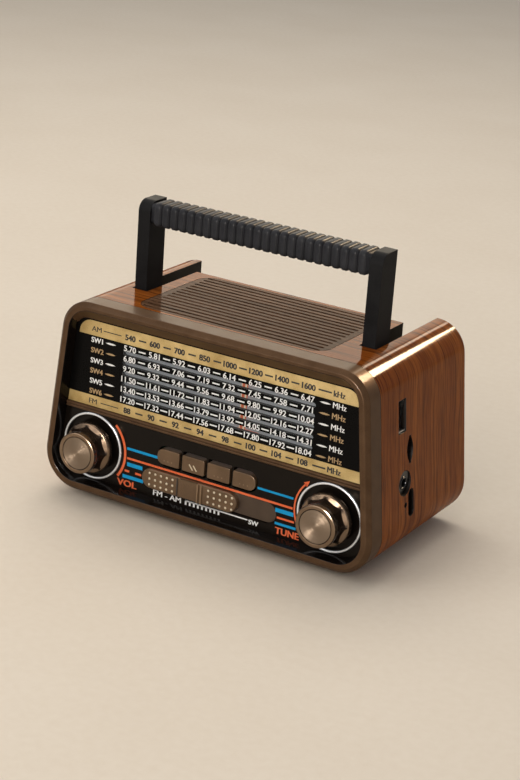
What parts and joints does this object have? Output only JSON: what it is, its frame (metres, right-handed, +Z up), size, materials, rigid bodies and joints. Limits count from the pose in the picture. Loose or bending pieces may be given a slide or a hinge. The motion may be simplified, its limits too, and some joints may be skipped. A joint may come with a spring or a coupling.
{
  "type": "tabletop radio",
  "caption": "Retro tabletop radio: sloping wood cabinet, bronze bezel, printed dial with moving pointer, knobs, push buttons, band slider, folding ribbed handle and whip antenna.",
  "frame": {"origin": "on the floor under the middle of the whole radio", "axes": "+X to the right of the front, +Y to the back, +Z up"},
  "size_m": [0.1648, 0.1014, 0.1316],
  "materials": {
    "wood": "wood-grain laminate, gloss lacquer",
    "bronze": "satin bronze lacquer",
    "dial": "printed gloss plastic",
    "panel": "printed gloss plastic",
    "knob": "spun bronze plating",
    "ring": "polished",
    "brown_plastic": "moulded bronze-brown plastic",
    "black_plastic": "moulded black plastic",
    "grey_plastic": "moulded grey plastic",
    "clear_plastic": "clear acrylic",
    "pointer": "orange plastic",
    "cord": "braided dial cord",
    "rubber": "moulded rubber",
    "steel": "plated steel",
    "chrome": "chrome plate",
    "white_plastic": "moulded nylon",
    "board": "circuit board",
    "paper": "pressed paper",
    "lamp": "clear red plastic",
    "ferrite": "sintered ferrite",
    "copper": "copper",
    "battery": "wrapped cell"
  },
  "bodies": {
    "cabinet": {"cabinet_shell": "wood", "speaker_grille": "wood", "front_bezel": "bronze", "dial_divider": "bronze", "dial_plate": "dial", "control_panel": "panel", "volume_ring": "ring", "tuning_ring": "ring", "slider_bed": "brown_plastic", "rear_cover": "black_plastic", "button_switches": "black_plastic", "band_switch": "black_plastic", "aux_socket": "black_plastic", "card_socket": "black_plastic", "dc_socket": "black_plastic", "antenna_bracket": "black_plastic", "speaker_baffle": "black_plastic", "dial_chassis": "grey_plastic", "ferrite_holder": "grey_plastic", "dial_windows": "clear_plastic", "dial_cord": "cord", "feet": "rubber", "handle_pins": "steel", "cover_screws": "steel", "pointer_rail": "steel", "antenna_pivot": "steel", "volume_control": "steel", "tuning_control": "steel", "speaker_frame": "steel", "usb_socket": "steel", "main_board": "board", "port_board": "board", "speaker_cone": "paper", "charge_lamp": "lamp", "ferrite_rod": "ferrite", "ferrite_coil": "copper", "battery_contacts": "copper", "battery": "battery"},
    "handle": {"handle_frame": "black_plastic", "handle_grip": "black_plastic"},
    "volume": {"volume_knob": "knob", "volume_shaft": "steel"},
    "tuning": {"tuning_knob": "knob", "tuning_shaft": "steel", "tuning_drum": "white_plastic"},
    "pointer": {"dial_pointer": "pointer"},
    "mode": {"mode_button": "brown_plastic"},
    "back": {"back_button": "brown_plastic"},
    "play": {"play_button": "brown_plastic"},
    "forward": {"forward_button": "brown_plastic"},
    "slider": {"band_slider": "brown_plastic"},
    "door": {"battery_door": "black_plastic"},
    "antenna_arm": {"antenna_base": "chrome"},
    "antenna_mid": {"antenna_middle": "chrome"},
    "antenna_end": {"antenna_tip": "chrome"}
  },
  "joints": [
    {"name": "handle_fold", "type": "hinge", "parent": "cabinet", "child": "handle", "pos_m": [0, -0.00505, 0.0854], "axis": [-1, 0, 0], "range_deg": [0, 90]},
    {"name": "volume_turn", "type": "hinge", "parent": "cabinet", "child": "volume", "pos_m": [-0.06, -0.03835, 0.0249], "axis": [0, 1, 0], "range_deg": [-150, 150]},
    {"name": "tuning_turn", "type": "hinge", "parent": "cabinet", "child": "tuning", "pos_m": [0.06, -0.03835, 0.0249], "axis": [0, 1, 0], "range_deg": [-411.81, 238.49]},
    {"name": "pointer_slide", "type": "slide", "parent": "cabinet", "child": "pointer", "axis": [1, 0, 0], "range_m": [-0.0577, 0.0335]},
    {"name": "mode_press", "type": "slide", "parent": "cabinet", "child": "mode", "axis": [0, 1, 0], "range_m": [0, 0.0012], "stiffness_N_per_m": 400},
    {"name": "back_press", "type": "slide", "parent": "cabinet", "child": "back", "axis": [0, 1, 0], "range_m": [0, 0.0012], "stiffness_N_per_m": 400},
    {"name": "play_press", "type": "slide", "parent": "cabinet", "child": "play", "axis": [0, 1, 0], "range_m": [0, 0.0012], "stiffness_N_per_m": 400},
    {"name": "forward_press", "type": "slide", "parent": "cabinet", "child": "forward", "axis": [0, 1, 0], "range_m": [0, 0.0012], "stiffness_N_per_m": 400},
    {"name": "band_slide", "type": "slide", "parent": "cabinet", "child": "slider", "axis": [1, 0, 0], "range_m": [0, 0.0181]},
    {"name": "door_open", "type": "hinge", "parent": "cabinet", "child": "door", "pos_m": [0, 0.04265, 0.0127], "axis": [-1, 0, 0], "range_deg": [0, 100]},
    {"name": "antenna_swing", "type": "hinge", "parent": "cabinet", "child": "antenna_arm", "pos_m": [0.05732, 0.0479, 0.0665], "axis": [0, 1, 0], "range_deg": [0, 180]},
    {"name": "antenna_pull_middle", "type": "slide", "parent": "antenna_arm", "child": "antenna_mid", "axis": [-1, 0, 0], "range_m": [0, 0.095]},
    {"name": "antenna_pull_tip", "type": "slide", "parent": "antenna_mid", "child": "antenna_end", "axis": [-1, 0, 0], "range_m": [0, 0.095]}
  ],
  "couplings": [
    {"joint": "pointer_slide", "follows": "tuning_turn", "m_per_rad": 0.008}
  ]
}
